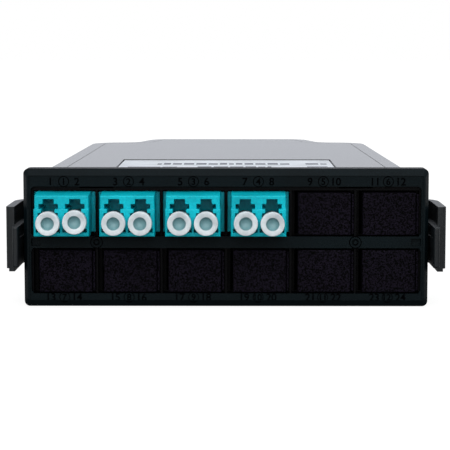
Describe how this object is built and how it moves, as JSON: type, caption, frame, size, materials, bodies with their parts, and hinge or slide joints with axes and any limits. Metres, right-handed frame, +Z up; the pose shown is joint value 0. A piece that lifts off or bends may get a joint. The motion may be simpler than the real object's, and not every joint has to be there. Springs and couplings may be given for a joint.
{
  "type": "fibre cassette",
  "caption": "Slide-in breakout module with a grid of duplex LC positions in front, some with capped aqua couplers and the rest blanked, side latches and one MPO port behind.",
  "frame": {"origin": "middle of the bounding box on the underside", "axes": "+X to the right seen from the front panel, +Y from the front panel to the rear, +Z up"},
  "size_m": [0.1046, 0.1516, 0.033],
  "materials": {
    "bezel_plastic": "fine moulded grain",
    "housing_plastic": "satin moulded",
    "latch_plastic": "satin moulded",
    "blank_plastic": "coarse sparked grain",
    "adapter_aqua": "smooth moulded",
    "cap_white": "soft translucent white",
    "label_film": "matt printed film",
    "screw_steel": "zinc plated",
    "port_black": "smooth moulded",
    "rear_cap_black": "soft moulded",
    "plug_beige": "smooth moulded",
    "plug_aqua": "smooth moulded",
    "cable_aqua": "cable jacket",
    "fibre_aqua": "buffer coating",
    "sleeve_ceramic": "ground ceramic",
    "block_grey": "potted block"
  },
  "bodies": {
    "housing": {"front_bezel": "bezel_plastic", "bezel_pins": "bezel_plastic", "base_tray": "housing_plastic", "top_cover": "housing_plastic", "label": "label_film", "cover_screws": "screw_steel", "mpo_adapter": "port_black", "lc_adapter_1": "adapter_aqua", "lc_adapter_2": "adapter_aqua", "lc_adapter_3": "adapter_aqua", "lc_adapter_4": "adapter_aqua", "blank_plug_5": "blank_plastic", "blank_plug_6": "blank_plastic", "blank_plug_7": "blank_plastic", "blank_plug_8": "blank_plastic", "blank_plug_9": "blank_plastic", "blank_plug_10": "blank_plastic", "blank_plug_11": "blank_plastic", "blank_plug_12": "blank_plastic", "lc_plug_1": "plug_beige", "lc_plug_2": "plug_beige", "lc_plug_3": "plug_beige", "lc_plug_4": "plug_beige", "lc_plug_5": "plug_beige", "lc_plug_6": "plug_beige", "lc_plug_7": "plug_beige", "lc_plug_8": "plug_beige", "fibre_1": "fibre_aqua", "fibre_2": "fibre_aqua", "fibre_3": "fibre_aqua", "fibre_4": "fibre_aqua", "fibre_5": "fibre_aqua", "fibre_6": "fibre_aqua", "fibre_7": "fibre_aqua", "fibre_8": "fibre_aqua", "alignment_sleeves_1": "sleeve_ceramic", "alignment_sleeves_2": "sleeve_ceramic", "alignment_sleeves_3": "sleeve_ceramic", "alignment_sleeves_4": "sleeve_ceramic", "fan_out_block": "block_grey", "mpo_pigtail": "cable_aqua", "mpo_plug": "plug_aqua"},
    "cap_1": {"dust_cap_1": "cap_white"},
    "cap_2": {"dust_cap_2": "cap_white"},
    "cap_3": {"dust_cap_3": "cap_white"},
    "cap_4": {"dust_cap_4": "cap_white"},
    "cap_5": {"dust_cap_5": "cap_white"},
    "cap_6": {"dust_cap_6": "cap_white"},
    "cap_7": {"dust_cap_7": "cap_white"},
    "cap_8": {"dust_cap_8": "cap_white"},
    "rear_cap": {"mpo_dust_cap": "rear_cap_black"},
    "latch_left": {"latch_left": "latch_plastic"},
    "latch_right": {"latch_right": "latch_plastic"}
  },
  "joints": [
    {"name": "cap_1_pull", "type": "slide", "parent": "housing", "child": "cap_1", "axis": [0, -1, 0], "range_m": [0, 0.01]},
    {"name": "cap_2_pull", "type": "slide", "parent": "housing", "child": "cap_2", "axis": [0, -1, 0], "range_m": [0, 0.01]},
    {"name": "cap_3_pull", "type": "slide", "parent": "housing", "child": "cap_3", "axis": [0, -1, 0], "range_m": [0, 0.01]},
    {"name": "cap_4_pull", "type": "slide", "parent": "housing", "child": "cap_4", "axis": [0, -1, 0], "range_m": [0, 0.01]},
    {"name": "cap_5_pull", "type": "slide", "parent": "housing", "child": "cap_5", "axis": [0, -1, 0], "range_m": [0, 0.01]},
    {"name": "cap_6_pull", "type": "slide", "parent": "housing", "child": "cap_6", "axis": [0, -1, 0], "range_m": [0, 0.01]},
    {"name": "cap_7_pull", "type": "slide", "parent": "housing", "child": "cap_7", "axis": [0, -1, 0], "range_m": [0, 0.01]},
    {"name": "cap_8_pull", "type": "slide", "parent": "housing", "child": "cap_8", "axis": [0, -1, 0], "range_m": [0, 0.01]},
    {"name": "rear_cap_pull", "type": "slide", "parent": "housing", "child": "rear_cap", "axis": [0, 1, 0], "range_m": [0, 0.01]},
    {"name": "latch_left_squeeze", "type": "hinge", "parent": "housing", "child": "latch_left", "pos_m": [-0.044, -0.0452, 0.016], "axis": [0, 0, 1], "range_deg": [0, 1.2], "stiffness_Nm_per_rad": 1},
    {"name": "latch_right_squeeze", "type": "hinge", "parent": "housing", "child": "latch_right", "pos_m": [0.044, -0.0452, 0.016], "axis": [0, 0, -1], "range_deg": [0, 1.2], "stiffness_Nm_per_rad": 1}
  ]
}
